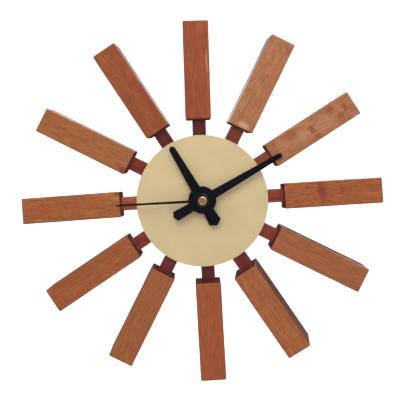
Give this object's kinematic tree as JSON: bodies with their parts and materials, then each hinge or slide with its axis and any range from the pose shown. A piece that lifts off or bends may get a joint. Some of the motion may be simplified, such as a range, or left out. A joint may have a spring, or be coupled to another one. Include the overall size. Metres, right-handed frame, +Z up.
{
  "type": "sunburst wall clock",
  "caption": "Round-dial wall clock with block-shaped wooden rays, slim hands, a quartz movement with a meshing gear train, and a keyhole hanger.",
  "frame": {"origin": "on the hand axis, in the plane of the wall that the hub's back lies against", "axes": "+Z up towards 12 o'clock, +Y into the wall, so that the dial faces -Y, and +X to the right as seen from the front"},
  "size_m": [0.2797, 0.0398, 0.2796],
  "materials": {
    "lacquered_walnut": "stained hardwood under a satin-gloss lacquer, fine straight grain, light wear on the edges",
    "hub_wood": "dark reddish stained wood, turned, open at the back",
    "dial_paint": "smooth satin cream paint on sheet metal",
    "black_enamel": "semi-matt black paint on thin sheet",
    "brass": "turned brass, slightly tarnished",
    "steel": "plain bright steel",
    "rubber": "matt black rubber",
    "case_plastic": "moulded dark grey plastic with a fine texture",
    "gear_plastic": "natural white moulded plastic",
    "coil_copper": "enamelled copper wire, fine windings",
    "circuit_board": "green solder mask",
    "chip_resin": "black resin drop",
    "battery_sleeve": "printed-film sleeve in plain colours, with steel ends"
  },
  "bodies": {
    "clock_body": {"spoke_01": "lacquered_walnut", "spoke_02": "lacquered_walnut", "spoke_03": "lacquered_walnut", "spoke_04": "lacquered_walnut", "spoke_05": "lacquered_walnut", "spoke_06": "lacquered_walnut", "spoke_07": "lacquered_walnut", "spoke_08": "lacquered_walnut", "spoke_09": "lacquered_walnut", "spoke_10": "lacquered_walnut", "spoke_11": "lacquered_walnut", "spoke_12": "lacquered_walnut", "hub": "hub_wood", "dial": "dial_paint", "bushing": "brass", "rubber_washer": "rubber", "flat_washer": "brass", "hex_nut": "brass", "movement_case": "case_plastic", "movement_lid": "case_plastic", "middle_plate": "gear_plastic", "stator": "steel", "coil_core": "steel", "coil_bobbin": "gear_plastic", "coil": "coil_copper", "circuit_board": "circuit_board", "chip": "chip_resin", "quartz_crystal": "steel", "contact_minus": "steel", "contact_plus": "steel", "hanger_plate": "steel", "hanger_screw_left": "steel", "hanger_screw_right": "steel"},
    "second_hand": {"second_hand": "black_enamel", "second_hand_boss": "brass", "seconds_wheel": "steel"},
    "minute_hand": {"minute_hand": "black_enamel", "hand_nut": "black_enamel", "minute_pipe": "brass"},
    "hour_hand": {"hour_hand": "black_enamel", "hour_wheel": "brass"},
    "rotor": {"rotor": "gear_plastic"},
    "intermediate_wheel": {"intermediate_wheel": "gear_plastic"},
    "third_wheel": {"third_wheel": "gear_plastic"},
    "centre_wheel": {"centre_wheel": "gear_plastic"},
    "minute_wheel": {"minute_wheel": "gear_plastic"},
    "setting_knob": {"setting_knob": "gear_plastic"},
    "battery": {"battery": "battery_sleeve"}
  },
  "joints": [
    {"name": "second_hand_turn", "type": "hinge", "parent": "clock_body", "child": "second_hand", "pos_m": [0, 0, 0], "axis": [0, 1, 0], "continuous": true},
    {"name": "minute_hand_turn", "type": "hinge", "parent": "clock_body", "child": "minute_hand", "pos_m": [0, 0, 0], "axis": [0, 1, 0], "continuous": true},
    {"name": "hour_hand_turn", "type": "hinge", "parent": "clock_body", "child": "hour_hand", "pos_m": [0, 0, 0], "axis": [0, 1, 0], "continuous": true},
    {"name": "rotor_turn", "type": "hinge", "parent": "clock_body", "child": "rotor", "pos_m": [0.01512, 0, 0.00878], "axis": [0, 1, 0], "continuous": true},
    {"name": "intermediate_wheel_turn", "type": "hinge", "parent": "clock_body", "child": "intermediate_wheel", "pos_m": [0.00689, 0, 0.00579], "axis": [0, 1, 0], "continuous": true},
    {"name": "third_wheel_turn", "type": "hinge", "parent": "clock_body", "child": "third_wheel", "pos_m": [-0.00855, 0, 0.00717], "axis": [0, 1, 0], "continuous": true},
    {"name": "centre_wheel_turn", "type": "hinge", "parent": "clock_body", "child": "centre_wheel", "pos_m": [0, 0, 0], "axis": [0, 1, 0], "continuous": true},
    {"name": "minute_wheel_turn", "type": "hinge", "parent": "clock_body", "child": "minute_wheel", "pos_m": [0.0084, 0, 0], "axis": [0, 1, 0], "continuous": true},
    {"name": "setting_knob_turn", "type": "hinge", "parent": "clock_body", "child": "setting_knob", "pos_m": [0.01629, 0, -0.00287], "axis": [0, 1, 0], "continuous": true},
    {"name": "battery_slide", "type": "slide", "parent": "clock_body", "child": "battery", "axis": [0, 1, 0], "range_m": [0, 0.02]}
  ],
  "couplings": [
    {"joint": "intermediate_wheel_turn", "follows": "second_hand_turn", "ratio": -5},
    {"joint": "rotor_turn", "follows": "second_hand_turn", "ratio": 30},
    {"joint": "third_wheel_turn", "follows": "second_hand_turn", "ratio": -0.13333},
    {"joint": "centre_wheel_turn", "follows": "second_hand_turn", "ratio": 0.016667},
    {"joint": "minute_wheel_turn", "follows": "minute_hand_turn", "ratio": -0.33333},
    {"joint": "hour_hand_turn", "follows": "minute_hand_turn", "ratio": 0.083333},
    {"joint": "setting_knob_turn", "follows": "minute_hand_turn", "ratio": 1}
  ]
}
